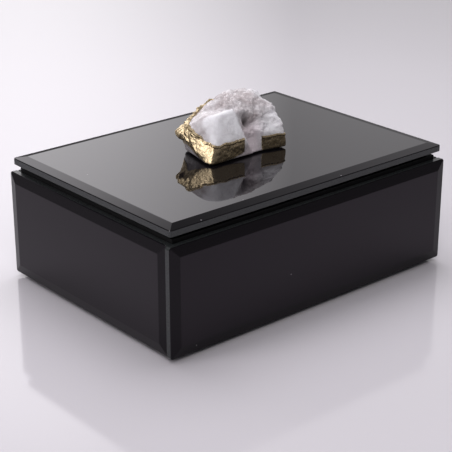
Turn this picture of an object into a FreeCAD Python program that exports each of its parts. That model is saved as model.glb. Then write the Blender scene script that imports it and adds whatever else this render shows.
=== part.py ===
# Vanity trinket box: a black-lined board carcass clad in bevelled black glass panes, with a glass lid on
# two small hinges and a rough quartz stone, gilt round its edge, glued to the lid as its knob.
# Millimetres. X runs along the front, the front faces -Y, +Z is up, and Z = 0 is what the feet stand on.
# The origin is under the centre of the box.
import FreeCAD
import Part
import os

Vector = FreeCAD.Vector

# ---- Outside of the glass body ----
box_length = 206.0
box_width = 149.0
pane_height = 62.8

# ---- Bevelled glass, the same stock for the body and the lid ----
glass_thickness = 5.0
bevel_width = 6.0
bevel_drop = 1.2  # how far the bevel falls from the face to the ground edge
corner_radius = 1.5  # safety radius ground on every corner of a pane

# ---- Board carcass inside the glass ----
board_thickness = 6.0
corner_rabbet = 3.0  # how deep the end boards sit into the front and back boards
base_thickness = 4.0
base_rabbet = 3.0  # how deep the base board sits into the four walls

# ---- What the box stands on ----
foot_height = 1.7
foot_radius = 5.0
foot_taper = 0.8  # how much smaller the foot is at the bottom
foot_inset = 12.0  # from the carcass's corner to the foot's centre, both ways
base_felt_thickness = 0.8
base_felt_inset = 1.0

# ---- Velvet lining ----
lining_thickness = 1.5
lining_drop = 2.0  # from the rim down to the top of the wall linings
floor_pad_thickness = 3.0
floor_pad_gap = 0.2

# ---- Lid ----
lid_inset_ends = 1.8  # from the body's outer face to the lid glass, at the two ends
lid_inset_front = 2.6  # the same, at the front and at the back
lid_board_inset = 3.0  # from the carcass's outer face to the edge of the board under the lid glass
lid_lining_thickness = 1.5
lid_lining_gap = 1.5  # between the lid's lining and the wall linings, all round

# ---- Hinges ----
hinge_length = 26.0
hinge_spacing = 120.0  # between the middles of the two hinges
leaf_thickness = 0.8
leaf_gap = 0.1  # between the two closed leaves
barrel_radius = 1.8
barrel_setback = 0.1  # from the back face of the glass to the barrel
barrel_clearance = 0.5  # between the barrel and the glass above it and below it
knuckle_count = 5
knuckle_gap = 0.2
swing_clearance = 0.3  # between a knuckle and the other leaf's edge
pin_radius = 0.8
pin_clearance = 0.05
pin_head_radius = 1.2
pin_head_length = 0.5
leaf_margin = 0.6  # from the carcass's inner face, and from the lid's lining, to each leaf
mortise_gap = 0.1
fixing_spacing = 16.0
fixing_radius = 0.8
fixing_head_radius = 1.5
fixing_clearance = 0.05
screw_length = 7.0
screw_point = 1.5
rivet_tail_radius = 1.3
rivet_tail_depth = 0.6

# ---- Quartz stone ----
stone_length = 62.0
stone_depth = 37.0
stone_height = 29.5
stone_shift = (0.0, -0.5)  # the stone sits a little off the middle of the lid
shoulder_height = 20.5
shoulder_scale = 0.9
crown_scale = 0.5
crown_shift = (7.0, 3.5)  # the stone's highest part is towards its right and back
gilt_height = 10.0
gilt_thickness = 0.5
gilt_gap_from = -2.5  # the bare stretch of the front edge, along X
gilt_gap_to = 11.0
glue_thickness = 0.8
glue_scale = 0.82
# The stone's footprint, in shares of half its length and half its depth, counterclockwise from the left front
stone_outline = [
    (-0.82, -0.84),
    (-0.08, -0.86),
    (0.35, -0.81),
    (0.83, -1.00),
    (0.98, -0.51),
    (1.00, 0.19),
    (0.89, 0.68),
    (0.55, 0.95),
    (0.13, 1.00),
    (-0.32, 0.86),
    (-0.71, 0.78),
    (-0.97, 0.35),
    (-1.00, -0.14),
]

# ---- Heights and planes worked out from the above ----
pane_bottom = foot_height + base_felt_thickness
pane_top = pane_bottom + pane_height
rim_rise = barrel_radius + barrel_clearance  # how far the carcass stands above the panes
lid_board_thickness = barrel_radius + barrel_clearance
rim_top = pane_top + rim_rise
lid_glass_bottom = rim_top + lid_board_thickness
lid_glass_top = lid_glass_bottom + glass_thickness
stone_bottom = lid_glass_top + glue_thickness
base_top = pane_bottom + base_thickness

core_length = box_length - 2 * glass_thickness
core_width = box_width - 2 * glass_thickness
inner_length = core_length - 2 * board_thickness
inner_width = core_width - 2 * board_thickness
lined_length = inner_length - 2 * lining_thickness
lined_width = inner_width - 2 * lining_thickness

lid_length = box_length - 2 * lid_inset_ends
lid_width = box_width - 2 * lid_inset_front
lid_board_length = core_length - 2 * lid_board_inset
lid_board_width = core_width - 2 * lid_board_inset
lid_lining_length = lined_length - 2 * lid_lining_gap
lid_lining_width = lined_width - 2 * lid_lining_gap

hinge_y = box_width / 2 - barrel_setback - barrel_radius
hinge_z = rim_top
body_leaf_front = inner_width / 2 + leaf_margin
lid_leaf_front = lid_lining_width / 2 + leaf_margin
body_fixing_y = (body_leaf_front + core_width / 2) / 2
lid_fixing_y = (lid_leaf_front + lid_board_width / 2) / 2
knuckle_pitch = hinge_length / knuckle_count
hinge_centres = {"left": -hinge_spacing / 2, "right": hinge_spacing / 2}


def block(x_from, x_to, y_from, y_to, z_from, z_to):
    """A box between two corners."""
    return Part.makeBox(x_to - x_from, y_to - y_from, z_to - z_from, Vector(x_from, y_from, z_from))


def centred_block(length, width, z_from, z_to):
    """A box centred on the Z axis."""
    return block(-length / 2, length / 2, -width / 2, width / 2, z_from, z_to)


def rod(radius, x_from, x_to):
    """A round bar along the hinge axis."""
    return Part.makeCylinder(radius, x_to - x_from, Vector(x_from, hinge_y, hinge_z), Vector(1, 0, 0))


def mirrored_in_x(shape):
    return shape.mirror(Vector(0, 0, 0), Vector(1, 0, 0))


def group(shapes):
    return Part.makeCompound(shapes)


# ---- Glass ----


def bevelled_pane(width, height):
    """A pane lying face up on Z = 0, centred, bevelled on all four sides, with its corners rounded."""

    def rectangle(w, h, z):
        corners = [(-w / 2, -h / 2), (w / 2, -h / 2), (w / 2, h / 2), (-w / 2, h / 2), (-w / 2, -h / 2)]
        return Part.makePolygon([Vector(x, y, z) for x, y in corners])

    edge_height = glass_thickness - bevel_drop
    slab = centred_block(width, height, 0, edge_height)
    outer = rectangle(width, height, edge_height)
    inner = rectangle(width - 2 * bevel_width, height - 2 * bevel_width, glass_thickness)
    bevel = Part.makeLoft([outer, inner], True, True)
    stock = centred_block(width, height, 0, glass_thickness)
    upright = [e for e in stock.Edges if abs(e.tangentAt(e.FirstParameter).z) > 0.99]
    rounded = stock.makeFillet(corner_radius, upright)
    return slab.fuse(bevel).removeSplitter().common(rounded)


def wall_pane(width, back_face, turn):
    """A pane standing as a wall, its back face that far from the middle, turned about Z from the front."""
    pane = bevelled_pane(width, pane_height)
    pane.rotate(Vector(0, 0, 0), Vector(1, 0, 0), 90)
    pane.translate(Vector(0, -back_face, pane_bottom + pane_height / 2))
    pane.rotate(Vector(0, 0, 0), Vector(0, 0, 1), turn)
    return pane


def glass_panes():
    """The front pane covers the ends of the end panes, and they cover the ends of the back pane."""
    end_width = core_width + glass_thickness
    behind = Vector(0, glass_thickness / 2, 0)
    left, right = wall_pane(end_width, core_length / 2, -90), wall_pane(end_width, core_length / 2, 90)
    left.translate(behind)
    right.translate(behind)
    lid = bevelled_pane(lid_length, lid_width)
    lid.translate(Vector(0, 0, lid_glass_bottom))
    return {
        "front_glass_pane": wall_pane(box_length, core_width / 2, 0),
        "back_glass_pane": wall_pane(core_length, core_width / 2, 180),
        "left_glass_pane": left,
        "right_glass_pane": right,
        "lid_glass": lid,
    }


# ---- Hinges ----


def knuckles(centre, of_body):
    """(start, end) along X of each knuckle of one leaf: the body has the odd ones out, at both ends."""
    start = centre - hinge_length / 2
    first = 0 if of_body else 1
    return [
        (start + i * knuckle_pitch + knuckle_gap / 2, start + (i + 1) * knuckle_pitch - knuckle_gap / 2)
        for i in range(first, knuckle_count, 2)
    ]


def hinge_leaf(centre, of_body):
    """One leaf: a plate beside the barrel's middle plane, its knuckles, and two countersunk holes.

    The pin is pressed into the body's knuckles and turns in the lid's.
    """
    if of_body:
        front, fixing_y, bore_radius = body_leaf_front, body_fixing_y, pin_radius
        top = hinge_z - leaf_gap / 2
        bottom = top - leaf_thickness
        outside, inside = top, bottom
    else:
        front, fixing_y, bore_radius = lid_leaf_front, lid_fixing_y, pin_radius + pin_clearance
        bottom = hinge_z + leaf_gap / 2
        top = bottom + leaf_thickness
        outside, inside = bottom, top
    leaf = block(centre - hinge_length / 2, centre + hinge_length / 2, front, hinge_y, bottom, top)
    for start, end in knuckles(centre, not of_body):
        leaf = leaf.cut(rod(barrel_radius + swing_clearance, start - knuckle_gap, end + knuckle_gap))
    for start, end in knuckles(centre, of_body):
        leaf = leaf.fuse(rod(barrel_radius, start, end))
    leaf = leaf.cut(rod(bore_radius, centre - hinge_length, centre + hinge_length))
    for x in fixing_places(centre):
        leaf = leaf.cut(countersink(x, fixing_y, outside, inside, fixing_clearance))
    return leaf.removeSplitter()


def fixing_places(centre):
    return [centre - fixing_spacing / 2, centre + fixing_spacing / 2]


def countersink(x, y, head_z, neck_z, clearance=0.0):
    """A cone from a fixing's head, at head_z, to its neck."""
    head, neck = fixing_head_radius + clearance, fixing_radius + clearance
    if head_z > neck_z:
        return Part.makeCone(neck, head, head_z - neck_z, Vector(x, y, neck_z))
    return Part.makeCone(head, neck, neck_z - head_z, Vector(x, y, head_z))


def hinge_pin(centre):
    end = hinge_length / 2
    pin = rod(pin_radius, centre - end - pin_head_length, centre + end + pin_head_length)
    left_head = rod(pin_head_radius, centre - end - pin_head_length, centre - end)
    right_head = rod(pin_head_radius, centre + end, centre + end + pin_head_length)
    return pin.fuse([left_head, right_head]).removeSplitter()


def leaf_screw(x):
    """A countersunk wood screw from the body leaf down into the back board."""
    head_z = hinge_z - leaf_gap / 2
    neck_z = head_z - leaf_thickness
    point_z = head_z - screw_length
    shank = Part.makeCylinder(
        fixing_radius, neck_z - point_z - screw_point, Vector(x, body_fixing_y, point_z + screw_point)
    )
    point = Part.makeCone(0, fixing_radius, screw_point, Vector(x, body_fixing_y, point_z))
    return countersink(x, body_fixing_y, head_z, neck_z).fuse([shank, point]).removeSplitter()


def leaf_rivet(x):
    """A rivet through the lid leaf and the lid board, its tail spread flush under the glass."""
    head_z = hinge_z + leaf_gap / 2
    neck_z = head_z + leaf_thickness
    tail_z = lid_glass_bottom - rivet_tail_depth
    shank = Part.makeCylinder(fixing_radius, tail_z - neck_z, Vector(x, lid_fixing_y, neck_z))
    tail = Part.makeCone(fixing_radius, rivet_tail_radius, rivet_tail_depth, Vector(x, lid_fixing_y, tail_z))
    return countersink(x, lid_fixing_y, head_z, neck_z).fuse([shank, tail]).removeSplitter()


def hinges():
    nodes, screws, rivets = {}, [], []
    for side, centre in hinge_centres.items():
        nodes[side + "_hinge_body_leaf"] = hinge_leaf(centre, True)
        nodes[side + "_hinge_lid_leaf"] = hinge_leaf(centre, False)
        nodes[side + "_hinge_pin"] = hinge_pin(centre)
        screws += [leaf_screw(x) for x in fixing_places(centre)]
        rivets += [leaf_rivet(x) for x in fixing_places(centre)]
    nodes["hinge_screws"] = group(screws)
    nodes["hinge_rivets"] = group(rivets)
    return nodes


def leaf_mortise(centre, front, back, z_from, z_to):
    """The shallow pocket that a leaf is let into, open at the back."""
    end = hinge_length / 2 + mortise_gap
    return block(centre - end, centre + end, front - mortise_gap, back, z_from, z_to)


# ---- Carcass ----


def base_board():
    return centred_block(
        inner_length + 2 * base_rabbet, inner_width + 2 * base_rabbet, pane_bottom, base_top
    )


def long_board():
    """The front wall: full length, with a rabbet at each end for the end boards."""
    outer = -core_width / 2
    board = block(-core_length / 2, core_length / 2, outer, outer + board_thickness, pane_bottom, rim_top)
    rabbet = block(
        core_length / 2 - board_thickness,
        core_length / 2,
        outer + board_thickness - corner_rabbet,
        outer + board_thickness,
        pane_bottom,
        rim_top,
    )
    return board.cut([rabbet, mirrored_in_x(rabbet), base_board()])


def end_board():
    """The left wall: its ends sit in the rabbets of the front and back boards."""
    outer = -core_length / 2
    reach = inner_width / 2 + corner_rabbet
    return block(outer, outer + board_thickness, -reach, reach, pane_bottom, rim_top).cut(base_board())


def back_board():
    """The front board turned round, with the hinge leaves let in and a pilot hole for each screw."""
    board = long_board()
    board.rotate(Vector(0, 0, 0), Vector(0, 0, 1), 180)
    leaf_bottom = hinge_z - leaf_gap / 2 - leaf_thickness
    for centre in hinge_centres.values():
        board = board.cut(leaf_mortise(centre, body_leaf_front, core_width / 2, leaf_bottom, rim_top))
        board = board.cut([leaf_screw(x) for x in fixing_places(centre)])
    return board


def carcass():
    end = end_board()
    return {
        "front_board": long_board(),
        "back_board": back_board(),
        "left_board": end,
        "right_board": mirrored_in_x(end),
        "base_board": base_board(),
    }


# ---- Lining, felt and feet ----


def linings():
    """Velvet-wrapped cards on the four walls, the ends between the long ones, and a padded floor."""
    top = rim_top - lining_drop
    front = block(
        -inner_length / 2, inner_length / 2, -inner_width / 2, -lined_width / 2, base_top, top
    )
    left = block(
        -inner_length / 2, -lined_length / 2, -lined_width / 2, lined_width / 2, base_top, top
    )
    back = front.mirror(Vector(0, 0, 0), Vector(0, 1, 0))
    floor_pad = centred_block(
        lined_length - 2 * floor_pad_gap,
        lined_width - 2 * floor_pad_gap,
        base_top,
        base_top + floor_pad_thickness,
    )
    return {
        "front_lining": front,
        "back_lining": back,
        "left_lining": left,
        "right_lining": mirrored_in_x(left),
        "floor_pad": floor_pad,
    }


def underside():
    """A felt sheet over the bottom, and a soft foot near each corner."""
    felt = centred_block(
        core_length - 2 * base_felt_inset, core_width - 2 * base_felt_inset, foot_height, pane_bottom
    )
    x, y = core_length / 2 - foot_inset, core_width / 2 - foot_inset
    feet = [
        Part.makeCone(foot_radius - foot_taper, foot_radius, foot_height, Vector(sx * x, sy * y, 0))
        for sx in (-1, 1)
        for sy in (-1, 1)
    ]
    return {"base_felt": felt, "bumper_feet": group(feet)}


# ---- Lid ----


def lid_board():
    """The board glued under the lid glass, which closes on the carcass's rim."""
    board = centred_block(lid_board_length, lid_board_width, rim_top, lid_glass_bottom)
    leaf_top = hinge_z + leaf_gap / 2 + leaf_thickness
    for centre in hinge_centres.values():
        board = board.cut(leaf_mortise(centre, lid_leaf_front, lid_board_width / 2, rim_top, leaf_top))
        board = board.cut([leaf_rivet(x) for x in fixing_places(centre)])
    return board


def lid_lining():
    return centred_block(lid_lining_length, lid_lining_width, rim_top - lid_lining_thickness, rim_top)


# ---- Stone ----


def stone_wire(z, scale=1.0, shift=(0.0, 0.0)):
    """The stone's outline at a height, shrunk about its middle and shifted."""
    points = [
        Vector(
            stone_shift[0] + shift[0] + scale * u * stone_length / 2,
            stone_shift[1] + shift[1] + scale * v * stone_depth / 2,
            z,
        )
        for u, v in stone_outline
    ]
    return Part.makePolygon(points + points[:1])


def prism(wire, height):
    return Part.Face(wire).extrude(Vector(0, 0, height))


def stone():
    """Upright sides as high as the gilding, a sloping shoulder, and a smaller crown."""
    gilt_top = stone_bottom + gilt_height
    sides = prism(stone_wire(stone_bottom), gilt_height)
    half_shift = (crown_shift[0] / 2, crown_shift[1] / 2)
    upper = [
        stone_wire(gilt_top),
        stone_wire(stone_bottom + shoulder_height, shoulder_scale, half_shift),
        stone_wire(stone_bottom + stone_height, crown_scale, crown_shift),
    ]
    lower_loft = Part.makeLoft(upper[:2], True, True)
    upper_loft = Part.makeLoft(upper[1:], True, True)
    return sides.fuse([lower_loft, upper_loft]).removeSplitter()


def gilt_edge():
    """The gilding: a thin shell round the stone's sides, left off one stretch of the front."""
    outline = stone_wire(stone_bottom)
    shell = prism(outline.makeOffset2D(gilt_thickness, 2), gilt_height).cut(prism(outline, gilt_height))
    bare = block(
        gilt_gap_from, gilt_gap_to, -stone_depth, 0, stone_bottom, stone_bottom + gilt_height
    )
    return shell.cut(bare)


def stone_glue():
    return prism(stone_wire(lid_glass_top, glue_scale), glue_thickness)


def main():
    nodes = {}
    nodes.update(glass_panes())
    nodes.update(carcass())
    nodes.update(linings())
    nodes.update(underside())
    nodes.update(hinges())
    nodes["lid_board"] = lid_board()
    nodes["lid_lining"] = lid_lining()
    nodes["quartz_stone"] = stone()
    nodes["gilt_edge"] = gilt_edge()
    nodes["stone_glue"] = stone_glue()
    os.makedirs("parts", exist_ok=True)
    for name, shape in nodes.items():
        shape.exportStep("parts/" + name + ".step")
        print(name, len(shape.Solids), round(shape.Volume, 2), shape.isValid())


main()
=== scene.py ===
import math

import bpy
import numpy as np
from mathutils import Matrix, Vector


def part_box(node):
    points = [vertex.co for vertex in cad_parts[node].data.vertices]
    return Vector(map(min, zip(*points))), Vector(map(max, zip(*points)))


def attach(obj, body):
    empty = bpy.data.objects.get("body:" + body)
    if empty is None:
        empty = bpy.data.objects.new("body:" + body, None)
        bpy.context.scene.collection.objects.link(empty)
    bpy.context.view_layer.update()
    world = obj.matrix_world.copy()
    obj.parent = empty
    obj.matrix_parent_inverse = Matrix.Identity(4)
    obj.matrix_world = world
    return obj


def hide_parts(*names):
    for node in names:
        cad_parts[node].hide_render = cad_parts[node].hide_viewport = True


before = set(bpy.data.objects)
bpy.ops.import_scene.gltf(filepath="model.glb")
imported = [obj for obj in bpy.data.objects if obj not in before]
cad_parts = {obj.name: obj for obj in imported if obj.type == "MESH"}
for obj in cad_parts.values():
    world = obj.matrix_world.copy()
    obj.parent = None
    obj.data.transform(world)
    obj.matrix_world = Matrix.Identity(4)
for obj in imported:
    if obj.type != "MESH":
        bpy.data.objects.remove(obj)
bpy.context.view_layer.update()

mm = 0.001
random = np.random.default_rng(7)


# ---- camera, floor and light ----

cameraPlan = {
    "azimuth": -40.64,  # degrees round the box, 0 is straight at the front
    "elevation": 22.39,
    "distance": 0.8015,
    "aim": (-0.0035, -0.0007, 0.0282),
    "lens": 108.5,
}


def makeCamera(plan):
    azimuth, elevation = math.radians(plan["azimuth"]), math.radians(plan["elevation"])
    towards = Vector((math.sin(azimuth) * math.cos(elevation), -math.cos(azimuth) * math.cos(elevation),
                      math.sin(elevation)))
    data = bpy.data.cameras.new("camera")
    data.lens = plan["lens"]
    data.clip_start = 0.01
    camera = bpy.data.objects.new("camera", data)
    camera.location = Vector(plan["aim"]) + towards * plan["distance"]
    camera.rotation_euler = (math.pi / 2 - elevation, 0, azimuth)
    bpy.context.scene.collection.objects.link(camera)
    bpy.context.scene.camera = camera


makeCamera(cameraPlan)
bpy.context.scene.view_settings.view_transform = "Standard"
print("camera made")


# ---- small node helpers ----


def addNode(tree, kind, place=(0, 0), **values):
    node = tree.nodes.new(kind)
    node.location = place
    for name, value in values.items():
        if hasattr(node, name):
            setattr(node, name, value)
        else:
            node.inputs[name].default_value = value
    return node


def maths(tree, operation, first, second=None, clamp=False):
    node = tree.nodes.new("ShaderNodeMath")
    node.operation = operation
    node.use_clamp = clamp
    for index, value in enumerate((first, second)):
        if value is None:
            continue
        if hasattr(value, "is_output"):
            tree.links.new(value, node.inputs[index])
        else:
            node.inputs[index].default_value = value
    return node.outputs[0]


def ramp(tree, value, fromLow, fromHigh, toLow=0.0, toHigh=1.0):
    # a smooth step: toLow before fromLow, toHigh after fromHigh
    node = tree.nodes.new("ShaderNodeMapRange")
    node.interpolation_type = "SMOOTHSTEP"
    limits = {"From Min": fromLow, "From Max": fromHigh, "To Min": toLow, "To Max": toHigh}
    for name, number in limits.items():
        node.inputs[name].default_value = number
    tree.links.new(value, node.inputs["Value"])
    return node.outputs["Result"]


# each card: its middle's azimuth clockwise from +Y and elevation, half its width and height, the softness of
# its edges, all in degrees, and its brightness
studioCards = {
    "behind": (14, 20, 27, 13, 10, 1.95),
    "behindRight": (52, 19, 16, 15, 12, 0.66),
    "left": (-84, 14, 17, 14, 8, 2.2),
    "gold": (-69, 47, 11, 11, 6, 4.9),
    "overhead": (0, 90, 360, 30, 20, 0.35),
}
studioFill = {"level": 0.12, "tint": (1.0, 0.975, 1.0)}


def makeWorld(cards, fill):
    world = bpy.data.worlds.new("studio")
    bpy.context.scene.world = world
    world.use_nodes = True
    tree = world.node_tree
    tree.nodes.clear()
    direction = addNode(tree, "ShaderNodeTexCoord")
    split = addNode(tree, "ShaderNodeSeparateXYZ")
    tree.links.new(direction.outputs["Generated"], split.inputs[0])
    azimuth = maths(tree, "ARCTAN2", split.outputs[0], split.outputs[1])
    azimuth = maths(tree, "MULTIPLY", azimuth, 180 / math.pi)
    elevation = maths(tree, "MULTIPLY", maths(tree, "ARCSINE", split.outputs[2]), 180 / math.pi)
    total = None
    for middle, height, halfWidth, halfHeight, soft, level in cards.values():
        across = maths(tree, "ABSOLUTE", maths(tree, "SUBTRACT", azimuth, middle))
        across = ramp(tree, across, halfWidth - soft, halfWidth + soft, 1.0, 0.0)
        upward = maths(tree, "ABSOLUTE", maths(tree, "SUBTRACT", elevation, height))
        upward = ramp(tree, upward, halfHeight - soft / 2, halfHeight + soft / 2, level, 0.0)
        card = maths(tree, "MULTIPLY", across, upward)
        total = card if total is None else maths(tree, "MAXIMUM", total, card)
    strength = maths(tree, "ADD", total, fill["level"])
    background = addNode(tree, "ShaderNodeBackground")
    background.inputs["Color"].default_value = (*fill["tint"], 1)
    tree.links.new(strength, background.inputs["Strength"])
    output = addNode(tree, "ShaderNodeOutputWorld")
    tree.links.new(background.outputs[0], output.inputs["Surface"])


makeWorld(studioCards, studioFill)

lampPlan = {
    "key": {"place": (-0.42, -0.50, 0.62), "size": 0.35, "power": 2.2, "tint": (1.0, 0.98, 0.985)},
    "top": {"place": (0.10, 0.16, 0.66), "size": 0.6, "power": 3.6, "tint": (0.985, 0.98, 1.0)},
}


def makeLamps(plan):
    # square lamps aimed at the origin, which don't show in glossy surfaces
    for name, lamp in plan.items():
        data = bpy.data.lights.new(name, "AREA")
        data.shape = "SQUARE"
        data.size = lamp["size"]
        data.energy = lamp["power"]
        data.color = lamp["tint"]
        made = bpy.data.objects.new(name, data)
        made.location = lamp["place"]
        made.rotation_euler = (-Vector(lamp["place"])).to_track_quat("-Z", "Y").to_euler()
        made.visible_glossy = False
        bpy.context.scene.collection.objects.link(made)


makeLamps(lampPlan)


# ---- meshes from grids ----


def newObject(name, points, faces, materials=(), smooth=True):
    mesh = bpy.data.meshes.new(name)
    mesh.from_pydata(np.asarray(points, float).reshape(-1, 3).tolist(), [], faces)
    mesh.update()
    mesh.polygons.foreach_set("use_smooth", np.full(len(mesh.polygons), smooth))
    for material in materials:
        mesh.materials.append(material)
    made = bpy.data.objects.new(name, mesh)
    bpy.context.scene.collection.objects.link(made)
    return made


def gridFaces(rows, columns, wrapRows=False, wrapColumns=False, start=0):
    # quads between neighbouring rows and columns of a grid whose points are stored row after row
    r = np.arange(rows if wrapRows else rows - 1)
    c = np.arange(columns if wrapColumns else columns - 1)
    r, c = (a.ravel() for a in np.meshgrid(r, c, indexing="ij"))
    r2, c2 = (r + 1) % rows, (c + 1) % columns
    return start + np.stack([r * columns + c, r2 * columns + c, r2 * columns + c2, r * columns + c2], axis=1)


def joined(parts):
    # several (points, faces) pairs as one, with the faces' numbers shifted
    points, faces, count = [], [], 0
    for p, f in parts:
        points.append(np.asarray(p, float).reshape(-1, 3))
        faces += [[i + count for i in face] for face in (f.tolist() if hasattr(f, "tolist") else f)]
        count += len(points[-1])
    return np.concatenate(points), faces


noiseTable = random.random((64, 64, 64))


def valueNoise(points, size, shift=0):
    # random heights on the whole-number corners of a lattice, blended by a smooth step between them
    scaled = points / size + shift * 17.31
    whole = np.floor(scaled).astype(int)
    part = scaled - whole
    part = part * part * (3 - 2 * part)
    total = np.zeros(points.shape[:-1])
    for corner in np.ndindex(2, 2, 2):
        offset = np.array(corner)
        weight = np.prod(np.where(offset == 1, part, 1 - part), axis=-1)
        cell = (whole + offset) % 64
        total += weight * noiseTable[cell[..., 0], cell[..., 1], cell[..., 2]]
    return total * 2 - 1


def fractalNoise(points, size, octaves=4, shift=0):
    # octaves of value noise, each half as large and half as strong as the one before
    return sum(valueNoise(points, size / 2**k, shift + k) / 2**k for k in range(octaves))


def crystalPoints(points, size, shift=0):
    # 1 at scattered centres, falling evenly along eight sloping planes round each: a field of small pyramids
    scaled = points / size + shift * 11.7
    whole = np.floor(scaled).astype(int)
    best = np.full(points.shape[:-1], 9.0)
    turn = np.array([[0.80, 0.36, -0.48], [-0.60, 0.48, -0.64], [0.0, 0.80, 0.60]])
    for corner in np.ndindex(3, 3, 3):
        cell = whole + np.array(corner) - 1
        key = cell % 64
        jitter = np.stack([noiseTable[key[..., i], key[..., j], key[..., k]]
                           for i, j, k in ((0, 1, 2), (1, 2, 0), (2, 0, 1))], axis=-1)
        away = np.abs((scaled - cell - jitter) @ turn).sum(axis=-1)
        best = np.minimum(best, away)
    return np.clip(1 - best / 1.3, -1, 1)


# ---- shader groups that several materials use ----


def newGroup(name, inputs, outputs):
    # inputs are (name, kind, default), outputs are (name, kind)
    group = bpy.data.node_groups.new(name, "ShaderNodeTree")
    for label, kind, default in inputs:
        made = group.interface.new_socket(label, in_out="INPUT", socket_type=kind)
        if default is not None:
            made.default_value = default
    for label, kind in outputs:
        group.interface.new_socket(label, in_out="OUTPUT", socket_type=kind)
    return group, group.nodes.new("NodeGroupInput"), group.nodes.new("NodeGroupOutput")


def noise(tree, vector, scale, detail=3.0, roughness=0.55, distortion=0.0):
    node = tree.nodes.new("ShaderNodeTexNoise")
    for label, value in (("Scale", scale), ("Detail", detail), ("Roughness", roughness),
                         ("Distortion", distortion)):
        if hasattr(value, "is_output"):
            tree.links.new(value, node.inputs[label])
        else:
            node.inputs[label].default_value = value
    tree.links.new(vector, node.inputs["Vector"])
    return node.outputs["Fac"]


def mixColour(tree, factor, first, second):
    node = tree.nodes.new("ShaderNodeMix")
    node.data_type = "RGBA"
    for index, value in ((0, factor), (6, first), (7, second)):
        if hasattr(value, "is_output"):
            tree.links.new(value, node.inputs[index])
        elif index == 0:
            node.inputs[index].default_value = value
        else:
            node.inputs[index].default_value = (*value, 1)
    return node.outputs[2]


def makeGrainGroup():
    # fine grain: noise at the given scale, as a mask between two sharpness limits and as a height
    group, take, give = newGroup("fineGrain", [("Vector", "NodeSocketVector", None),
                                               ("Scale", "NodeSocketFloat", 900.0),
                                               ("Patchiness", "NodeSocketFloat", 0.4)],
                                 [("Mask", "NodeSocketFloat"), ("Height", "NodeSocketFloat")])
    fine = noise(group, take.outputs["Vector"], take.outputs["Scale"], 4, 0.6)
    slow = maths(group, "MULTIPLY", take.outputs["Scale"], 0.06)
    broad = noise(group, take.outputs["Vector"], slow, 3, 0.5)
    patch = maths(group, "MULTIPLY", maths(group, "SUBTRACT", broad, 0.5), take.outputs["Patchiness"])
    mask = maths(group, "ADD", ramp(group, fine, 0.3, 0.7), patch, clamp=True)
    group.links.new(mask, give.inputs["Mask"])
    group.links.new(fine, give.inputs["Height"])
    return group


def makeSpeckGroup():
    # specks: the middles of Voronoi cells, kept only where a broad noise is high
    group, take, give = newGroup("specks", [("Vector", "NodeSocketVector", None),
                                            ("Scale", "NodeSocketFloat", 160.0),
                                            ("Size", "NodeSocketFloat", 0.07),
                                            ("Rarity", "NodeSocketFloat", 0.6)],
                                 [("Mask", "NodeSocketFloat")])
    cells = group.nodes.new("ShaderNodeTexVoronoi")
    group.links.new(take.outputs["Vector"], cells.inputs["Vector"])
    group.links.new(take.outputs["Scale"], cells.inputs["Scale"])
    dot = maths(group, "LESS_THAN", cells.outputs["Distance"], take.outputs["Size"])
    split = group.nodes.new("ShaderNodeSeparateColor")
    group.links.new(cells.outputs["Color"], split.inputs[0])
    chosen = maths(group, "GREATER_THAN", split.outputs[0], take.outputs["Rarity"])
    group.links.new(maths(group, "MULTIPLY", dot, chosen), give.inputs["Mask"])
    return group


def makeNapGroup():
    # pile: short stretched fibres over soft brushed patches
    group, take, give = newGroup("nap", [("Vector", "NodeSocketVector", None),
                                         ("Scale", "NodeSocketFloat", 1400.0),
                                         ("Brushing", "NodeSocketFloat", 0.5)],
                                 [("Mask", "NodeSocketFloat"), ("Height", "NodeSocketFloat")])
    fibre = noise(group, take.outputs["Vector"], take.outputs["Scale"], 5, 0.7, 0.4)
    broad = maths(group, "MULTIPLY", take.outputs["Scale"], 0.02)
    brushed = noise(group, take.outputs["Vector"], broad, 2, 0.5, 1.2)
    mask = maths(group, "ADD", maths(group, "MULTIPLY", fibre, 0.5),
                 maths(group, "MULTIPLY", brushed, take.outputs["Brushing"]), clamp=True)
    group.links.new(mask, give.inputs["Mask"])
    group.links.new(fibre, give.inputs["Height"])
    return group


grainGroup, speckGroup, napGroup = makeGrainGroup(), makeSpeckGroup(), makeNapGroup()


# ---- materials ----


def newMaterial(name, **plain):
    # a Principled material; the plain values go straight onto the shader's sockets
    material = bpy.data.materials.new(name)
    material.use_nodes = True
    tree = material.node_tree
    shader = tree.nodes["Principled BSDF"]
    for label, value in plain.items():
        socket = shader.inputs[label.replace("_", " ")]
        isColour = hasattr(value, "__len__") and len(socket.default_value) == 4
        socket.default_value = (*value, 1) if isColour else value
    coords = tree.nodes.new("ShaderNodeTexCoord").outputs["Object"]
    return material, tree, shader, coords


def useGroup(tree, group, coords, **values):
    node = tree.nodes.new("ShaderNodeGroup")
    node.node_tree = group
    tree.links.new(coords, node.inputs["Vector"])
    for label, value in values.items():
        node.inputs[label].default_value = value
    return node.outputs


def stretch(tree, coords, scale):
    node = tree.nodes.new("ShaderNodeMapping")
    node.inputs["Scale"].default_value = scale
    tree.links.new(coords, node.inputs["Vector"])
    return node.outputs[0]


def feed(tree, shader, colour=None, roughness=None, bumps=()):
    # bumps are (height, strength, distance), laid one over another
    if colour is not None:
        tree.links.new(colour, shader.inputs["Base Color"])
    if roughness is not None:
        tree.links.new(roughness, shader.inputs["Roughness"])
    last = None
    for height, strength, distance in bumps:
        node = tree.nodes.new("ShaderNodeBump")
        node.inputs["Strength"].default_value = strength
        node.inputs["Distance"].default_value = distance
        tree.links.new(height, node.inputs["Height"])
        if last is not None:
            tree.links.new(last, node.inputs["Normal"])
        last = node.outputs[0]
    if last is not None:
        tree.links.new(last, shader.inputs["Normal"])


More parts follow.
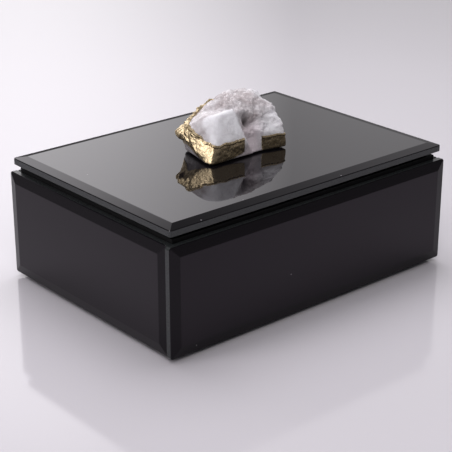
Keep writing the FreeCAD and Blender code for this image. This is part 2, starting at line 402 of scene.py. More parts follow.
glassLook = {
    "black": (0.0035, 0.003, 0.004),
    "dust": (0.20, 0.19, 0.20),
    "clean": 0.012,  # roughness of the polish
    "smudged": 0.06,
    "ior": 1.52,
    "shine": {"lid": 0.5, "pane": 0.28, "bevel": 0.2},  # how strongly each kind of surface mirrors, weaker on the panes and bevels as painted shade
    # each kind's mirror tint; the purple tint on the panes and bevels is a painted reflection colour
    "sheen": {"lid": (0.98, 0.95, 1.0), "pane": (1.0, 0.86, 1.0), "bevel": (1.0, 0.92, 1.0)},
}


def makePolishedGlass(look, kind):
    # deep black, nearly clean polish, with a few dust specks, faint wipe marks and a very slow waviness
    # the lid, pane and bevel copies of this glass differ only in mirror strength and tint, which put painted
    # shade and painted reflection colour on the panes and bevels
    material, tree, shader, coords = newMaterial("blackGlass_" + kind, IOR=look["ior"],
                                                 Specular_IOR_Level=look["shine"][kind],
                                                 Specular_Tint=look["sheen"][kind])
    specks = useGroup(tree, speckGroup, coords, Scale=150.0, Size=0.055, Rarity=0.93)["Mask"]
    wipes = ramp(tree, noise(tree, stretch(tree, coords, (9, 30, 14)), 1.0, 5, 0.6, 1.5), 0.5, 0.8)
    colour = mixColour(tree, specks, look["black"], look["dust"])
    rough = maths(tree, "ADD", ramp(tree, wipes, 0, 1, look["clean"], look["smudged"]),
                  maths(tree, "MULTIPLY", specks, 0.3))
    wave = noise(tree, coords, 14.0, 1, 0.4)
    feed(tree, shader, colour, rough, [(wave, 0.03, 0.002)])
    return material


groundEdgeLook = {
    "dark": (0.019, 0.0215, 0.0225),
    "pale": (0.028, 0.031, 0.032),
    "ior": 1.5,
}


def makeGroundEdge(look):
    # the edge's grey-green grind: fine grain stretched along the edge, and small chips
    material, tree, shader, coords = newMaterial("groundGlassEdge", IOR=look["ior"])
    grain = useGroup(tree, grainGroup, coords, Scale=2600.0, Patchiness=0.6)
    chips = useGroup(tree, speckGroup, coords, Scale=300.0, Size=0.12, Rarity=0.96)["Mask"]
    colour = mixColour(tree, grain["Mask"], look["dark"], look["pale"])
    rough = ramp(tree, grain["Mask"], 0, 1, 0.22, 0.42)
    feed(tree, shader, colour, rough, [(grain["Height"], 0.08, 0.00003), (chips, 0.12, 0.0001)])
    return material


boardLook = {"dark": (0.002, 0.002, 0.0022), "pale": (0.007, 0.007, 0.0075)}


def makeBoardWrap(look):
    material, tree, shader, coords = newMaterial("blackBoardWrap", Specular_IOR_Level=0.25)
    grain = useGroup(tree, grainGroup, coords, Scale=1300.0, Patchiness=0.5)
    colour = mixColour(tree, grain["Mask"], look["dark"], look["pale"])
    feed(tree, shader, colour, ramp(tree, grain["Mask"], 0, 1, 0.6, 0.85), [(grain["Height"], 0.4, 0.00015)])
    return material


velvetLook = {"deep": (0.004, 0.0035, 0.005), "lit": (0.03, 0.026, 0.033)}
feltLook = {"deep": (0.006, 0.006, 0.007), "lit": (0.034, 0.034, 0.037)}


def makePile(name, look, scale, sheen, strength):
    # a piled cloth: fibres and brushed patches in colour and bump, with a sheen at the rim
    material, tree, shader, coords = newMaterial(name, Sheen_Weight=sheen, Sheen_Roughness=0.35,
                                                 Sheen_Tint=(0.75, 0.72, 0.78), Specular_IOR_Level=0.2)
    nap = useGroup(tree, napGroup, coords, Scale=scale, Brushing=0.55)
    colour = mixColour(tree, nap["Mask"], look["deep"], look["lit"])
    feed(tree, shader, colour, ramp(tree, nap["Mask"], 0, 1, 0.75, 0.95), [(nap["Height"], strength, 0.0004)])
    return material


rubberLook = {"dark": (0.012, 0.012, 0.013), "pale": (0.03, 0.03, 0.032)}


def makeRubber(look):
    material, tree, shader, coords = newMaterial("footRubber")
    grain = useGroup(tree, grainGroup, coords, Scale=1100.0, Patchiness=0.6)
    dust = useGroup(tree, speckGroup, coords, Scale=600.0, Size=0.2, Rarity=0.85)["Mask"]
    colour = mixColour(tree, maths(tree, "ADD", grain["Mask"], dust, clamp=True), look["dark"], look["pale"])
    feed(tree, shader, colour, ramp(tree, grain["Mask"], 0, 1, 0.35, 0.55), [(grain["Height"], 0.2, 0.0002)])
    return material


brassLook = {"bright": (0.80, 0.58, 0.27), "tarnished": (0.38, 0.25, 0.10)}


def makeBrass(look):
    # polished brass with brushed lines along the hinge and tarnish in patches
    material, tree, shader, coords = newMaterial("hingeBrass", Metallic=1.0)
    lines = useGroup(tree, grainGroup, stretch(tree, coords, (0.04, 1, 1)), Scale=2200.0, Patchiness=0.2)
    patches = ramp(tree, noise(tree, coords, 140.0, 4, 0.65), 0.52, 0.75)
    colour = mixColour(tree, patches, look["bright"], look["tarnished"])
    rough = maths(tree, "ADD", ramp(tree, lines["Mask"], 0, 1, 0.12, 0.24),
                  maths(tree, "MULTIPLY", patches, 0.2))
    feed(tree, shader, colour, rough, [(lines["Height"], 0.15, 0.0001)])
    return material


quartzLook = {
    "milk": (0.84, 0.83, 0.87),
    "smoke": (0.43, 0.38, 0.39),
    # painted shade in the crevices between small crystals
    "creviceShade": (0.16, 0.135, 0.14),
    "lilac": (0.80, 0.70, 0.75),
    # painted shade in the hollow between the crystals
    "shadedHollow": (0.07, 0.06, 0.06),
    "veil": (0.95, 0.94, 0.97),
}


def makeQuartz(look):
    # milky, smoky and lilac zones follow the stone's own crystals (attribute zone), as does the painted shade
    # in the crevices and the hollow; veils and sugar are noise
    material, tree, shader, coords = newMaterial("roughQuartz", Subsurface_Weight=0.3,
                                                 Subsurface_Scale=0.0025,
                                                 Subsurface_Radius=(1.0, 0.95, 1.0), IOR=1.54)
    zone = tree.nodes.new("ShaderNodeAttribute")
    zone.attribute_name = "zone"
    split = tree.nodes.new("ShaderNodeSeparateColor")
    tree.links.new(zone.outputs["Color"], split.inputs[0])
    milky, lilac, shadedHollow = split.outputs[0], split.outputs[1], split.outputs[2]
    cloud = noise(tree, coords, 190.0, 5, 0.62, 0.8)
    drift = maths(tree, "MULTIPLY", maths(tree, "SUBTRACT", cloud, 0.5), 0.9)
    milkMask = maths(tree, "ADD", milky, drift, clamp=True)
    # away from the small crystals' tips the smoky colour darkens to painted crevice shade
    low = maths(tree, "SUBTRACT", 1.0, zone.outputs["Alpha"], clamp=True)
    colour = mixColour(tree, low, look["smoke"], look["creviceShade"])
    colour = mixColour(tree, milkMask, colour, look["milk"])
    colour = mixColour(tree, lilac, colour, look["lilac"])
    streaks = noise(tree, stretch(tree, coords, (1, 0.5, 1.6)), 420.0, 4, 0.7, 1.5)
    veils = ramp(tree, streaks, 0.58, 0.72, 0.0, 0.6)
    colour = mixColour(tree, veils, colour, look["veil"])
    # painted shade in the hollow
    colour = mixColour(tree, shadedHollow, colour, look["shadedHollow"])
    sugar = useGroup(tree, grainGroup, coords, Scale=1500.0, Patchiness=0.8)
    rough = maths(tree, "ADD", ramp(tree, milkMask, 0, 1, 0.14, 0.42),
                  ramp(tree, sugar["Mask"], 0, 1, -0.06, 0.1))
    ridges = noise(tree, coords, 330.0, 4, 0.6, 0.5)
    feed(tree, shader, colour, rough, [(ridges, 0.35, 0.0008), (sugar["Height"], 0.3, 0.0003)])
    return material


giltLook = {"bright": (0.93, 0.75, 0.47), "worn": (0.66, 0.50, 0.28)}


def makeGilt(look):
    material, tree, shader, coords = newMaterial("giltPlating", Metallic=1.0)
    thin = ramp(tree, noise(tree, coords, 260.0, 4, 0.65), 0.5, 0.78)
    pits = useGroup(tree, grainGroup, coords, Scale=1200.0, Patchiness=0.5)
    dents = noise(tree, coords, 520.0, 3, 0.6, 0.6)
    colour = mixColour(tree, thin, look["bright"], look["worn"])
    rough = ramp(tree, pits["Mask"], 0, 1, 0.24, 0.4)
    feed(tree, shader, colour, rough, [(dents, 0.3, 0.0006), (pits["Height"], 0.1, 0.0001)])
    return material


glueLook = {"clear": (0.45, 0.45, 0.43), "cloudy": (0.62, 0.62, 0.6)}


def makeGlueFinish(look):
    material, tree, shader, coords = newMaterial("clearGlue", Transmission_Weight=0.6, IOR=1.48)
    bubbles = useGroup(tree, speckGroup, coords, Scale=900.0, Size=0.25, Rarity=0.7)["Mask"]
    cloud = noise(tree, coords, 300.0, 3, 0.6)
    colour = mixColour(tree, cloud, look["clear"], look["cloudy"])
    feed(tree, shader, colour, ramp(tree, cloud, 0.3, 0.7, 0.05, 0.25), [(bubbles, 0.3, 0.0002)])
    return material


floorLook = {"near": (0.565, 0.54, 0.58), "far": (0.63, 0.605, 0.645), "ior": 1.5}


def makeFloorFinish(look):
    material, tree, shader, coords = newMaterial("paleFloor", IOR=look["ior"])
    cloud = noise(tree, coords, 1.5, 3, 0.5)
    colour = mixColour(tree, cloud, look["near"], look["far"])
    feed(tree, shader, colour, ramp(tree, cloud, 0.3, 0.7, 0.06, 0.1))
    return material


lidGlass, paneGlass, bevelGlass = (makePolishedGlass(glassLook, kind) for kind in ("lid", "pane", "bevel"))
groundEdge = makeGroundEdge(groundEdgeLook)
boardWrap = makeBoardWrap(boardLook)
velvet = makePile("blackVelvet", velvetLook, 1500.0, 0.5, 0.5)
felt = makePile("blackFelt", feltLook, 900.0, 0.25, 0.8)
footRubber = makeRubber(rubberLook)
hingeBrass = makeBrass(brassLook)
roughQuartz = makeQuartz(quartzLook)
giltPlating = makeGilt(giltLook)
clearGlue = makeGlueFinish(glueLook)
print("materials made")


def makeFloor():
    # a flat square, far larger than the view
    reach = 4.0
    corners = np.array([(-reach, -reach, 0), (reach, -reach, 0), (reach, reach, 0), (-reach, reach, 0)])
    floor = newObject("floor", corners, [(0, 1, 2, 3)], [makeFloorFinish(floorLook)], smooth=False)


makeFloor()


# ---- putting pieces in their places ----

outwardAxes = {  # width, height and outward directions of a plate that faces each way
    "front": ((1, 0, 0), (0, 0, 1), (0, -1, 0)),
    "back": ((-1, 0, 0), (0, 0, 1), (0, 1, 0)),
    "left": ((0, -1, 0), (0, 0, 1), (-1, 0, 0)),
    "right": ((0, 1, 0), (0, 0, 1), (1, 0, 0)),
    "top": ((1, 0, 0), (0, 1, 0), (0, 0, 1)),
    "bottom": ((-1, 0, 0), (0, 1, 0), (0, 0, -1)),
}


def plateFrame(node, facing):
    # the node's box as seen from the way it faces: its back face's middle, three directions and three sizes
    low, high = (np.array(corner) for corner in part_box(node))
    across, upward, outward = (np.array(axis, float) for axis in outwardAxes[facing])
    middle, size = (low + high) / 2, high - low
    width, height, thickness = (abs(axis @ size) for axis in (across, upward, outward))
    return middle - outward * thickness / 2, (across, upward, outward), (width, height, thickness)


def placed(points, origin, axes):
    points = np.asarray(points, float)
    return origin + points[..., :1] * axes[0] + points[..., 1:2] * axes[1] + points[..., 2:] * axes[2]


def settle(made, body, slot, *nodes):
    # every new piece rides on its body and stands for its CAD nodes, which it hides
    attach(made, body)
    if nodes:
        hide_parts(*nodes)
    return made


# ---- bevelled glass ----

glassPlan = {
    "bevelWidth": 6.0 * mm,
    "bevelDrop": 1.2 * mm,
    "corner": 1.6 * mm,  # radius of the plate's corners
    "arris": 0.35 * mm,  # width of the small flat ground off each sharp edge
    "cornerSteps": 12,
    "panes": {"front_glass_pane": "front", "back_glass_pane": "back", "left_glass_pane": "left",
              "right_glass_pane": "right", "lid_glass": "top"},
}


def bevelledPlate(node, facing, plan):
    # a profile carried round a rounded rectangle: back arris, ground wall, front arris; then four flat mitred
    # bevels, whose height falls evenly with the distance from the nearest side, and the polished face
    origin, axes, (width, height, thickness) = plateFrame(node, facing)
    a, b, radius, steps = width / 2, height / 2, plan["corner"], plan["cornerSteps"]
    bevel, drop, arris = plan["bevelWidth"], plan["bevelDrop"], plan["arris"]
    corner = np.repeat(np.arange(4), steps + 1)
    angle = (corner + np.tile(np.linspace(0, 1, steps + 1), 4)) * math.pi / 2
    side = np.stack([np.where((corner == 0) | (corner == 3), 1, -1), np.where(corner < 2, 1, -1)], axis=1)

    def ring(inset):
        spread = np.stack([np.cos(angle), np.sin(angle)], axis=1) * (radius - inset)
        return side * np.array([a - radius, b - radius]) + spread

    def bevelHeight(flat):
        nearest = np.minimum(a - np.abs(flat[:, 0]), b - np.abs(flat[:, 1]))
        return thickness - drop * (1 - np.clip(nearest / bevel, 0, 1))

    outline, inner = ring(0), ring(arris)
    rows = [np.column_stack([inner, np.zeros(len(angle))]),
            np.column_stack([outline, np.full(len(angle), arris)]),
            np.column_stack([outline, bevelHeight(outline) - arris]),
            np.column_stack([inner, bevelHeight(inner)])]
    count = len(angle)
    face = np.array([(1, 1), (-1, 1), (-1, -1), (1, -1)]) * np.array([a - bevel, b - bevel])
    points = np.concatenate(rows + [np.column_stack([face, np.full(4, thickness)])])
    walls = gridFaces(4, count, wrapColumns=True)[:, ::-1].tolist()
    top, middle, inside = 3 * count, steps // 2, 4 * count
    bevels = []
    for k in range(4):
        start, end = k * (steps + 1) + middle, (k + 1) * (steps + 1) + middle
        bevels.append([top + i % count for i in range(start, end + 1)] + [inside + (k + 1) % 4, inside + k])
    faces = walls + bevels + [[inside + k for k in range(4)], list(range(count))[::-1]]
    # the panes and bevels take the glass copies whose weaker, tinted mirror is painted shade
    finishes = [lidGlass, groundEdge, lidGlass] if facing == "top" else [paneGlass, groundEdge, bevelGlass]
    made = newObject(node + "_bevelled", placed(points, origin, axes), faces, finishes)
    kinds = np.zeros(len(faces), np.int32)
    kinds[:2 * count] = 1
    kinds[2 * count:3 * count + 4] = 2
    made.data.polygons.foreach_set("material_index", kinds)
    made.data.set_sharp_from_angle(angle=math.radians(8.5))
    return made


for node, facing in glassPlan["panes"].items():
    settle(bevelledPlate(node, facing, glassPlan), "lid" if facing == "top" else "box", "black_glass", node)
print("glass made")


# ---- CAD pieces that stay, with better finishes ----

keptFinishes = {
    "front_board": boardWrap, "back_board": boardWrap, "left_board": boardWrap, "right_board": boardWrap,
    "base_board": boardWrap, "lid_board": boardWrap,
    "left_hinge_body_leaf": hingeBrass, "left_hinge_lid_leaf": hingeBrass, "left_hinge_pin": hingeBrass,
    "right_hinge_body_leaf": hingeBrass, "right_hinge_lid_leaf": hingeBrass, "right_hinge_pin": hingeBrass,
    "hinge_rivets": hingeBrass,
}
for node, material in keptFinishes.items():
    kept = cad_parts[node].data.materials
    kept.clear()
    kept.append(material)


# ---- velvet pads and felt ----

padPlan = {  # which way each pad faces, its rolled edge, how far its middle crowns, and how much it ripples
    "front_lining": {"facing": "back", "roll": 1.2, "crown": 0.5, "ripple": 0.12, "body": "box"},
    "back_lining": {"facing": "front", "roll": 1.2, "crown": 0.5, "ripple": 0.12, "body": "box"},
    "left_lining": {"facing": "right", "roll": 1.2, "crown": 0.5, "ripple": 0.12, "body": "box"},
    "right_lining": {"facing": "left", "roll": 1.2, "crown": 0.5, "ripple": 0.12, "body": "box"},
    "floor_pad": {"facing": "top", "roll": 2.4, "crown": 1.3, "ripple": 0.25, "body": "box"},
    "lid_lining": {"facing": "bottom", "roll": 1.2, "crown": 0.5, "ripple": 0.15, "body": "lid"},
}


def padSurface(node, name, facing, roll, crown, ripple, material, step=1.4, waver=0.0, seed=0):
    # height over a width-by-height grid: a quarter round at the rim, a low crown across the middle and slow
    # ripples; the sides pull in a little between the corners; a skirt and a flat back close it
    origin, axes, (width, height, thickness) = plateFrame(node, facing)
    rollSteps = np.array([0, 0.08, 0.2, 0.4, 0.7])  # shares of the roll, closest at the rim
    across, along = (np.unique(np.concatenate([
        -half + rollSteps * roll * mm, half - rollSteps * roll * mm,
        np.linspace(-half + roll * mm, half - roll * mm, max(6, int(half * 2 / mm / step)))]))
        for half in (width / 2, height / 2))
    x, y = np.meshgrid(across, along, indexing="ij")
    rim = np.minimum(width / 2 - np.abs(x), height / 2 - np.abs(y))
    curve = np.clip(rim / (roll * mm), 0, 1)
    shoulder = np.sqrt(np.clip(1 - (1 - curve) ** 2, 0, 1))
    swell = (1 - (2 * x / width) ** 4) * (1 - (2 * y / height) ** 4)
    slow = fractalNoise(np.stack([x, y, x * 0 + seed * 3.1 * mm], axis=-1) / mm, 22.0, 3, seed)
    base = thickness - roll * mm * 0.85
    z = base + roll * mm * 0.85 * shoulder + crown * mm * swell * shoulder + ripple * mm * slow * curve
    pull = 1 - 0.004 * (1 - (2 * y / height) ** 2), 1 - 0.006 * (1 - (2 * x / width) ** 2)
    edge = waver * mm * fractalNoise(np.stack([x, y, x * 0], axis=-1) / mm, 5.0, 2, seed + 5)
    top = np.stack([x * pull[0] + edge, y * pull[1] + edge, z], axis=-1)
    rows, columns = x.shape
    number = np.arange(rows * columns).reshape(rows, columns)
    border = np.concatenate([number[:, 0], number[-1, 1:], number[-2::-1, -1], number[0, -2:0:-1]])
    flat = top.reshape(-1, 3)
    foot = flat[border] * np.array([1, 1, 0])
    count = len(border)
    first, second = np.arange(count), (np.arange(count) + 1) % count
    skirt = np.stack([border[first], rows * columns + first, rows * columns + second, border[second]], axis=1)
    back = (rows * columns + np.arange(count))[::-1].tolist()
    faces = gridFaces(rows, columns).tolist() + skirt.tolist() + [back]
    points = placed(np.concatenate([flat, foot]), origin, axes)
    made = newObject(name, points, faces, [material])
    made.data.set_sharp_from_angle(angle=math.radians(50))
    return made


for index, (node, plan) in enumerate(padPlan.items()):
    pad = padSurface(node, node + "_velvet", plan["facing"], plan["roll"], plan["crown"], plan["ripple"],
                     velvet, seed=index)
    settle(pad, plan["body"], "velvet", node)

feltPlan = {"facing": "bottom", "roll": 0.3, "crown": 0.0, "ripple": 0.05, "waver": 0.25}
feltSheet = padSurface("base_felt", "base_felt_cloth", feltPlan["facing"], feltPlan["roll"],
                       feltPlan["crown"], feltPlan["ripple"], felt, waver=feltPlan["waver"], seed=9)
settle(feltSheet, "box", "base_felt", "base_felt")
print("linings and felt made")


# ---- turned pieces: feet and screws ----


def turned(profile, centre, segments=64, direction=1.0, relief=None):
    # a profile of (radius, height) turned about an upright axis; both ends close in a point on the axis
    profile = np.asarray(profile, float)
    angle = np.linspace(0, 2 * math.pi, segments, endpoint=False)
    radius = np.meshgrid(profile[1:-1, 0], angle, indexing="ij")[0]
    height = np.meshgrid(profile[1:-1, 1], angle, indexing="ij")[0]
    x, y = radius * np.cos(angle), radius * np.sin(angle)
    if relief is not None:
        height = height + relief(x, y, height)
    points = np.stack([x, y, height * direction], axis=-1).reshape(-1, 3)
    rows = len(profile) - 2
    ends = np.array([(0, 0, profile[0, 1] * direction), (0, 0, profile[-1, 1] * direction)])
    if relief is not None:
        ends[:, 2] += relief(np.zeros(2), np.zeros(2), profile[[0, -1], 1]) * direction
    faces = gridFaces(rows, segments, wrapColumns=True)[:, ::-1]
    first, second = np.arange(segments), (np.arange(segments) + 1) % segments
    lowFan = np.stack([second, first, np.full(segments, rows * segments)], axis=1)
    highFan = np.stack([(rows - 1) * segments + first, (rows - 1) * segments + second,
                        np.full(segments, rows * segments + 1)], axis=1)
    faces = faces.tolist() + lowFan.tolist() + highFan.tolist()
    if direction < 0:
        faces = [face[::-1] for face in faces]
    return np.concatenate([points, ends]) + np.asarray(centre), faces


footPlan = {"inset": 12.0, "radius": 5.0, "dimple": 0.25}


def makeFeet(plan):
    # a low dome: flat glued side up, its rim rounded, its resting face slightly dished
    low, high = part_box("bumper_feet")
    radius, tall = plan["radius"], (high.z - low.z) / mm
    turn = np.linspace(-math.pi / 2, 0.25, 14)
    rim = [(radius - 1.15 + 1.15 * math.cos(t), 1.15 + 1.15 * math.sin(t)) for t in turn]
    rows = [(0, plan["dimple"]), (1.2, plan["dimple"]), (2.4, 0.1), (3.0, 0.0)] + rim
    rows += [(radius, tall - 0.12), (radius - 0.1, tall), (2.0, tall), (0, tall)]
    profile = np.array(rows) * mm
    sx, sy = high.x - radius * mm, high.y - radius * mm
    parts = [turned(profile, (x, y, low.z)) for x in (-sx, sx) for y in (-sy, sy)]
    points, faces = joined(parts)
    made = newObject("bumper_feet_domed", points, faces, [footRubber])
    made.data.set_sharp_from_angle(angle=math.radians(40))
    settle(made, "box", "foot_rubber", "bumper_feet")


makeFeet(footPlan)

screwPlan = {
    "head": 1.5,
    "shank": 0.8,
    "slotWidth": 0.28,
    "slotDepth": 0.4,
    "pitch": 0.7,
    "thread": 0.12,
    "spacing": 16.0,  # between the two screws of a hinge
}


def makeScrews(plan):
    # a countersunk head with a V-sided slot, and a shank whose radius follows a triangle wave wound round it
    low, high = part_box("hinge_screws")
    xs = (low.x + plan["head"] * mm, high.x - plan["head"] * mm)
    spacing = plan["spacing"] * mm
    length = (high.z - low.z) / mm
    head = [(r, 0.0) for r in np.linspace(0, plan["head"] - 0.08, 14)]
    cone = [(plan["head"], -0.06), (plan["shank"], -0.8)]
    shank = [(plan["shank"], -h) for h in np.linspace(0.9, length - 1.5, 60)]
    tip = [(plan["shank"] * (1 - t), -length + 1.5 - 1.5 * t) for t in np.linspace(0.1, 1, 8)]
    profile = np.array((head + cone + shank + tip)[::-1]) * mm

    def slot(x, y, h):
        across = np.clip(1.7 * (1 - np.abs(y) / (plan["slotWidth"] * mm)), 0, 1)
        return np.where(h > -0.02 * mm, -plan["slotDepth"] * mm * across, 0.0)

    y = (low.y + high.y) / 2
    places = [xs[0], xs[0] + spacing, xs[1] - spacing, xs[1]]
    parts = []
    for x in places:
        points, faces = turned(profile, (0, 0, 0), relief=slot)
        angle = np.arctan2(points[:, 1], points[:, 0]) / (2 * math.pi)
        wave = np.abs(((points[:, 2] / (plan["pitch"] * mm) + angle) % 1) - 0.5) * 2
        inShank = (points[:, 2] < -1.0 * mm) & (points[:, 2] > (1.2 - length) * mm)
        shrink = np.where(inShank, 1 - plan["thread"] * wave / plan["shank"], 1.0)
        points = points * np.column_stack([shrink, shrink, np.ones(len(points))])
        turnBy = 0.4 + 37 * x
        spin = np.array([[math.cos(turnBy), -math.sin(turnBy)], [math.sin(turnBy), math.cos(turnBy)]])
        points[:, :2] = points[:, :2] @ spin.T
        parts.append((points + np.array([x, y, high.z]), faces))
    points, faces = joined(parts)
    made = newObject("hinge_screws_slotted", points, faces, [hingeBrass])
    made.data.set_sharp_from_angle(angle=math.radians(35))
    settle(made, "box", "hinge_brass", "hinge_screws")


makeScrews(screwPlan)
print("feet and screws made")


# ---- quartz stone ----

# Each crystal is a stack of cleavage planes: a direction, and a point that the plane passes through, in
# millimetres from the middle of the lid's top face
stonePlan = {
    "heart": (0.0, 0.0, 12.0),
    "sharpness": 26,  # how crisply planes meet
    "join": 40,  # how crisply crystals meet
    "floor": ((0, 0, -1), (0, 0, 0.8)),
    "shadedHollow": (3.0, -11.0, 18.4),  # the middle of the recess between the crystals, which is dented and darkened with painted shade
    "crystals": {
        "white": [
            ((0.02, -1, 0), (-14, -16.3, 5)), ((-0.90, -0.33, 0.26), (-27.6, -9, 8)),
            ((-0.717, 0.334, -0.614), (-27.7, -2.4, 4.2)), ((-1, 0.02, 0.05), (-31.2, 3, 14)),
            ((0, -0.888, 0.46), (-14, -16.3, 11.2)), ((-0.45, -0.68, 0.58), (-24.4, -16.1, 11.3)),
            ((-0.62, 0.05, 0.78), (-26.5, 0, 21.5)), ((0.8, -0.6, 0.451), (-2.6, -16.3, 12)),
            ((-0.05, 0.1, 1), (-10, -6, 26.4)), ((-0.381, 0.514, 0.768), (-18, 5.3, 23.6)),
            ((-0.3, 0.95, 0.05), (-22, 15.6, 12)), ((0.85, 0.5, 0.1), (4, 4, 12)),
        ],
        "smoky": [
            ((0, -0.96, 0.28), (4, -14.9, 3)), ((0.05, -0.62, 0.78), (5, -9, 23.2)),
            ((0.0, -0.02, 1), (12, 6, 29.2)), ((-0.5, -0.2, 0.84), (-12, 2, 26.6)),
            ((-0.381, 0.514, 0.768), (-17, 6, 23.8)), ((0, 0.97, 0.24), (6, 17.6, 16)),
            ((-0.35, 0.93, 0.05), (-22, 14.5, 12)), ((-0.97, 0.2, -0.15), (-26, 3, 11)),
            ((-0.49, -0.87, 0), (-20, -9, 10)), ((0.577, -0.126, 0.808), (24, 2, 25)),
            ((0.98, 0.1, 0.17), (29.5, 4, 12)), ((0.7, 0.7, 0.15), (25.5, 12, 12)),
            ((0.47, -0.88, 0), (28, -7, 10)),
        ],
        "sugary": [
            ((-0.249, -0.968, 0), (18, -16.9, 5)), ((-0.1, -0.80, 0.60), (20, -17.2, 10.4)),
            ((0.985, -0.15, 0.1), (27, -15, 8)), ((0.724, -0.348, 0.597), (26, -11.8, 19.3)),
            ((0.25, -0.40, 0.88), (21, -6, 22.8)), ((-0.6, -0.8, 0), (10.6, -15.2, 9)),
            ((0, 1, 0), (20, 9, 10)), ((-0.55, -0.1, 0.83), (9, -9, 19)),
        ],
    },
    "milkFaces": [((0, -0.888, 0.46), (-14, -16.3, 11.2)), ((-0.45, -0.68, 0.58), (-24.4, -16.1, 11.3))],
    "rows": 210,
    "columns": 400,
}


def unit(vector):
    vector = np.asarray(vector, float)
    return vector / np.linalg.norm(vector, axis=-1, keepdims=True)


def directions(turn, lift):
    return np.stack([np.cos(lift) * np.cos(turn), np.cos(lift) * np.sin(turn), np.sin(lift)], axis=-1)


def crystalRadius(towards, planes, heart, sharpness):
    # one over the power mean of every plane's nearness: the smallest distance to a plane, with softened edges
    total = np.zeros(towards.shape[:-1])
    for normal, point in planes:
        normal = unit(normal)
        reach = (np.array(point) - heart) @ normal
        total += np.clip(towards @ normal / reach, 0, None) ** sharpness
    return total ** (-1 / sharpness)


def stoneRadius(turn, lift, plan):
    # the largest of the crystals' radii in a direction, plus relief that differs from crystal to crystal
    towards, heart = directions(turn, lift), np.array(plan["heart"])
    radii = {name: crystalRadius(towards, [plan["floor"]] + planes, heart, plan["sharpness"])
             for name, planes in plan["crystals"].items()}
    bare = sum(r ** plan["join"] for r in radii.values()) ** (1 / plan["join"])
    share = {name: (r / bare) ** 24 for name, r in radii.items()}
    whole = sum(share.values())
    share = {name: s / whole for name, s in share.items()}
    at = heart + towards * bare[..., None]
    points, fine = crystalPoints(at, 6.5, 1), crystalPoints(at, 2.6, 2)
    soft = fractalNoise(at, 9.0, 4, 3)
    upper = np.clip((at[..., 2] - 9.5) / 4, 0, 1)
    dent = np.exp(-(((at - np.array(plan["shadedHollow"])) / np.array([2.6, 6.0, 3.6])) ** 2).sum(axis=-1))
    relief = share["white"] * (0.3 * soft + 0.12 * fine)
    relief += share["smoky"] * (0.4 * soft + upper * (1.7 * points + 0.9 * fine)) - 3.2 * dent
    relief += share["sugary"] * (0.4 * soft + upper * (1.6 * points + 0.9 * fine))
    keepFlat = np.clip((at[..., 2] - 0.8) / 1.5, 0, 1)
    return bare + relief * keepFlat, share, towards, at, soft


def makeStone(plan):
    rows, columns = plan["rows"], plan["columns"]
    lift = np.linspace(-math.pi / 2, math.pi / 2, rows + 2)[1:-1]
    turn = np.linspace(0, 2 * math.pi, columns, endpoint=False)
    turn, lift = np.meshgrid(turn, lift)
    radius, share, towards, at, soft = stoneRadius(turn, lift, plan)
    heart = np.array(plan["heart"])
    points = (heart + towards * radius[..., None]).reshape(-1, 3)
    poles = heart + np.array([(0, 0, -1), (0, 0, 1)]) * np.array([[radius[0].mean()], [radius[-1].mean()]])
    faces = gridFaces(rows, columns, wrapColumns=True)[:, ::-1]
    first, second = np.arange(columns), (np.arange(columns) + 1) % columns
    lowFan = np.stack([second, first, np.full(columns, rows * columns)], axis=1)
    highFan = np.stack([(rows - 1) * columns + first, (rows - 1) * columns + second,
                        np.full(columns, rows * columns + 1)], axis=1)
    top = np.array([0, 0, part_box("lid_glass")[1].z])
    made = newObject("quartz_stone_rough", np.concatenate([points, poles]) * mm + top,
                     faces.tolist() + lowFan.tolist() + highFan.tolist(), [roughQuartz])
    # zone: how milky and how lilac the stone is at each point, how much painted shade the hollow gets, and
    # how near a small crystal's tip it is (away from the tips the crevices get painted shade)
    column = np.exp(-((at[..., 0] - 4.5) / 6) ** 2) * (at[..., 1] < -8) * np.clip((20 - at[..., 2]) / 5, 0, 1)
    # where the hollow gets painted shade
    shadedHollow = np.exp(-(((at - np.array(plan["shadedHollow"])) / np.array([2.4, 6, 3.6])) ** 2).sum(axis=-1))
    offFace = [np.abs((at - np.array(point)) @ unit(normal)) for normal, point in plan["milkFaces"]]
    onFace = np.clip(1.6 - np.min(offFace, axis=0) / 1.3, 0, 1) * np.clip((at[..., 0] + 30) / 4, 0, 1)
    milky = share["white"] * (0.3 + 0.3 * soft + 0.7 * onFace) + share["sugary"] * (0.78 + 0.2 * soft)
    milky += share["smoky"] * (0.18 + 0.3 * soft)
    # high at small crystals' tips, low in the crevices, which get painted shade
    unshadedTips = np.clip(0.5 + 0.55 * crystalPoints(at, 2.6, 2) + 0.35 * crystalPoints(at, 6.5, 1), 0, 1)
    zone = np.stack([milky, column * 0.8, shadedHollow * 0.9, unshadedTips], axis=-1).reshape(-1, 4)
    zone = np.concatenate([zone, zone[:1], zone[-1:]])
    attribute = made.data.attributes.new("zone", "FLOAT_COLOR", "POINT")
    attribute.data.foreach_set("color", np.clip(zone, 0, 1).astype(np.float32).ravel())
    made.data.set_sharp_from_angle(angle=math.radians(32))
    settle(made, "lid", "quartz", "quartz_stone")


makeStone(stonePlan)

giltPlan = {
    "from": 306.0,  # degrees round the stone from its right side, where the gilding starts and ends
    "to": 619.5,
    "thickness": 0.35,
    # the gilding's lower and upper edges: degrees, height above the lid
    "lower": ((300, 1.2), (325, 1.0), (420, 1.0), (510, 5.0), (530, 8.0), (548, 4.5), (560, 2.0), (573, 0.9),
              (595, 1.8), (620, 3.4)),
    "upper": ((306, 9.4), (323, 9.0), (345, 8.5), (400, 10), (420, 12), (440, 17), (455, 24), (470, 28.0),
              (485, 27.4), (500, 25.4), (510, 23.4), (523, 21.0), (535, 19.6), (545, 17.8), (553, 15.4),
              (560, 13.2), (573, 11.6), (600, 11.2), (620, 11.6)),
    "rows": 70,
    "columns": 620,
}


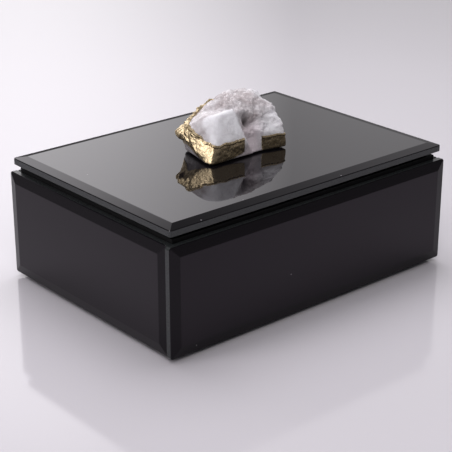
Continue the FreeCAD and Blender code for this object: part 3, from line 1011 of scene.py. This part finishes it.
def makeGilding(plan, stone):
    # a strip that follows the stone's own surface between two ragged heights, a little outside it, with
    # hammered dents and lumps; an inner skin and rims close it
    heart = np.array(stone["heart"])
    turn = np.linspace(plan["from"], plan["to"], plan["columns"])
    ragged = fractalNoise(np.stack([turn / 3.0, turn * 0, turn * 0], axis=-1), 2.0, 4, 6)
    lower = np.interp(turn, *np.array(plan["lower"]).T) + 0.25 * ragged
    upper = np.interp(turn, *np.array(plan["upper"]).T) + 0.55 * ragged
    share = np.linspace(0, 1, plan["rows"])[:, None]
    height = lower + (upper - lower) * share
    turnGrid = np.broadcast_to(np.radians(turn), height.shape)
    lift = np.zeros_like(height)
    for _ in range(14):  # walk each point up or down the stone until it is at its height
        radius = stoneRadius(turnGrid, lift, stone)[0]
        lift = np.clip(lift + 0.75 * (height - heart[2] - radius * np.sin(lift)) / radius, -1.4, 1.4)
    radius, _, towards, at, soft = stoneRadius(turnGrid, lift, stone)
    backLeft = np.exp(-((turn - 505) / 30) ** 2)
    lumps = np.clip(crystalPoints(at, 3.1, 4) * 1.25, 0, 1) ** 1.6
    crinkle = fractalNoise(at, 1.5, 3, 9)
    fromRing = np.sqrt(((turn - 521) / 6) ** 2 + ((height - 13.4) / 2.7) ** 2)
    ring = np.exp(-((fromRing - 0.85) / 0.45) ** 2)
    lip = np.exp(-(((1 - share) * (upper - lower) - 0.75) / 0.45) ** 2)
    proud = plan["thickness"] + 0.12 * soft + 0.1 * crinkle + backLeft * (lumps * 1.8 - 0.3) * share
    proud = np.maximum(proud + 1.5 * ring + 0.6 * lip, 0.12)
    outer = heart + towards * (radius + proud)[..., None]
    inner = heart + towards * (radius - 0.3)[..., None]
    loop = np.concatenate([outer, inner[::-1]])  # up the outside, down the inside
    rows, columns = loop.shape[:2]
    faces = gridFaces(rows, columns, wrapRows=True)[:, ::-1].tolist()
    number = np.arange(rows * columns).reshape(rows, columns)
    half = plan["rows"]
    rungs = np.arange(half - 1)
    cap = np.stack([rungs, rungs + 1, rows - 2 - rungs, rows - 1 - rungs], axis=1)
    startCap, endCap = number[cap, 0].tolist(), number[cap[:, ::-1], -1].tolist()
    top = np.array([0, 0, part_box("lid_glass")[1].z])
    made = newObject("gilt_edge_plating", loop * mm + top, faces + startCap + endCap, [giltPlating])
    made.data.set_sharp_from_angle(angle=math.radians(38))
    settle(made, "lid", "gilt", "gilt_edge")


makeGilding(giltPlan, stonePlan)

gluePlan = {"reach": 0.86, "rise": 1.3}


def makeGlue(plan):
    # a low lens: the stone's own footprint, shrunk, its height a flattened dome
    rows, columns = 18, 160
    turn = np.linspace(0, 2 * math.pi, columns, endpoint=False)
    foot = stoneRadius(turn, np.full(columns, -0.35), stonePlan)[0] * math.cos(0.35)
    ragged = 1 + 0.03 * fractalNoise(np.stack([np.cos(turn), np.sin(turn), turn * 0], axis=-1), 0.5, 3, 8)
    share = np.linspace(0, 1, rows + 1)[1:, None]
    outline = foot * ragged * plan["reach"]
    flat = np.stack([np.cos(turn) * outline * share, np.sin(turn) * outline * share], axis=-1)
    dome = plan["rise"] * np.sqrt(np.clip(1 - share ** 6, 0, 1)) * np.ones_like(turn)
    upper = np.concatenate([flat, dome[..., None]], axis=-1)
    points = np.concatenate([upper.reshape(-1, 3), [(0, 0, plan["rise"])]])
    first, second = np.arange(columns), (np.arange(columns) + 1) % columns
    fan = np.stack([first, second, np.full(columns, rows * columns)], axis=1)
    back = [((rows - 1) * columns + np.arange(columns))[::-1].tolist()]
    faces = gridFaces(rows, columns, wrapColumns=True).tolist() + fan.tolist() + back
    top = np.array([0, 0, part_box("lid_glass")[1].z])
    made = newObject("stone_glue_pool", points * mm + top, faces, [clearGlue])
    made.data.set_sharp_from_angle(angle=math.radians(60))
    settle(made, "lid", "clear_glue", "stone_glue")


makeGlue(gluePlan)
print("stone, gilding and glue made")
